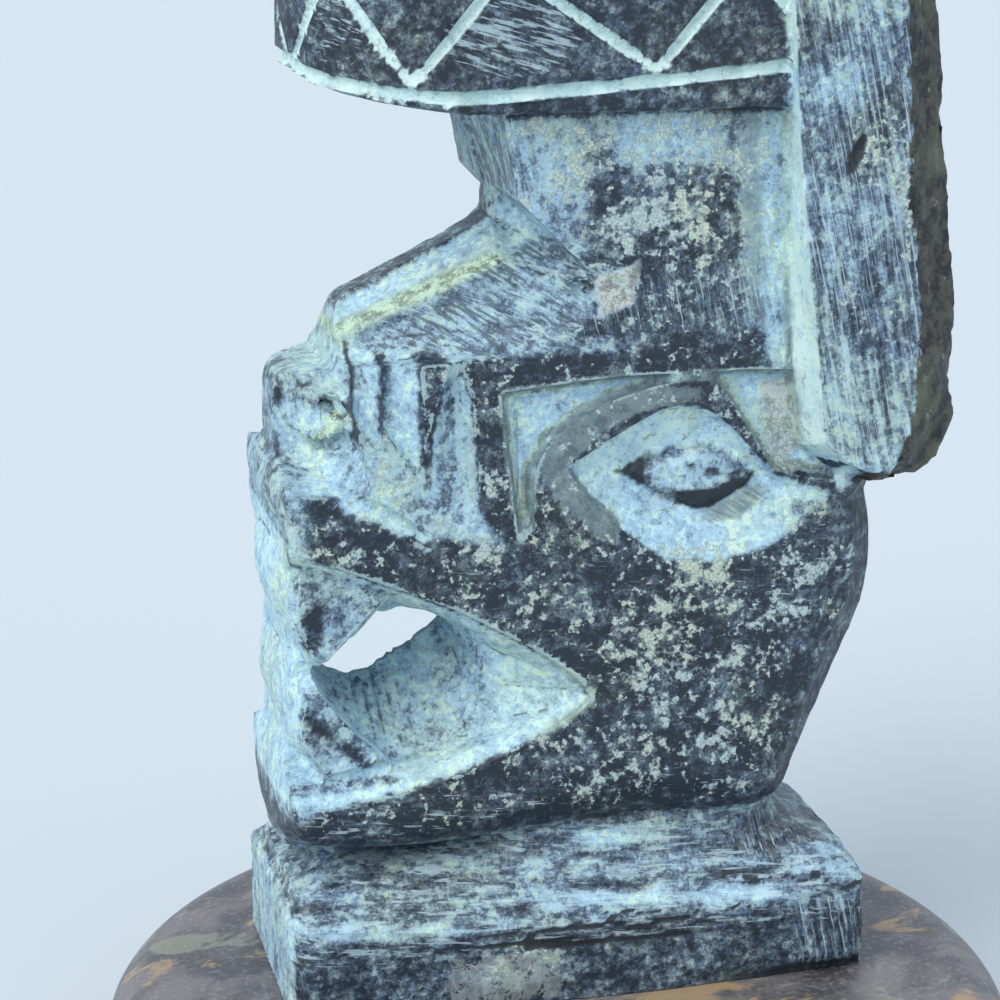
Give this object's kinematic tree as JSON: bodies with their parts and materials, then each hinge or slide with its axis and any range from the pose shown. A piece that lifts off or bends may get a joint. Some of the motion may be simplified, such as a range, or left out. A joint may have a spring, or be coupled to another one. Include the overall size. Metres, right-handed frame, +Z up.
{
  "type": "stone totem sculpture",
  "caption": "Carved dark stone totem: a fanged head in profile with an open mouth, a flat hat and a thick back panel, on a round polished stone base.",
  "frame": {"origin": "centre of the round base's underside", "axes": "+Z up, the face looks along -X, the open side shown is toward -Y"},
  "size_m": [0.222, 0.222, 0.2865],
  "materials": {
    "dark_stone": "rubbed smooth, with pale dust in the cut parts",
    "brown_stone": "polished"
  },
  "bodies": {
    "root": {"stone_totem": "dark_stone", "round_base": "brown_stone"}
  },
  "joints": []
}
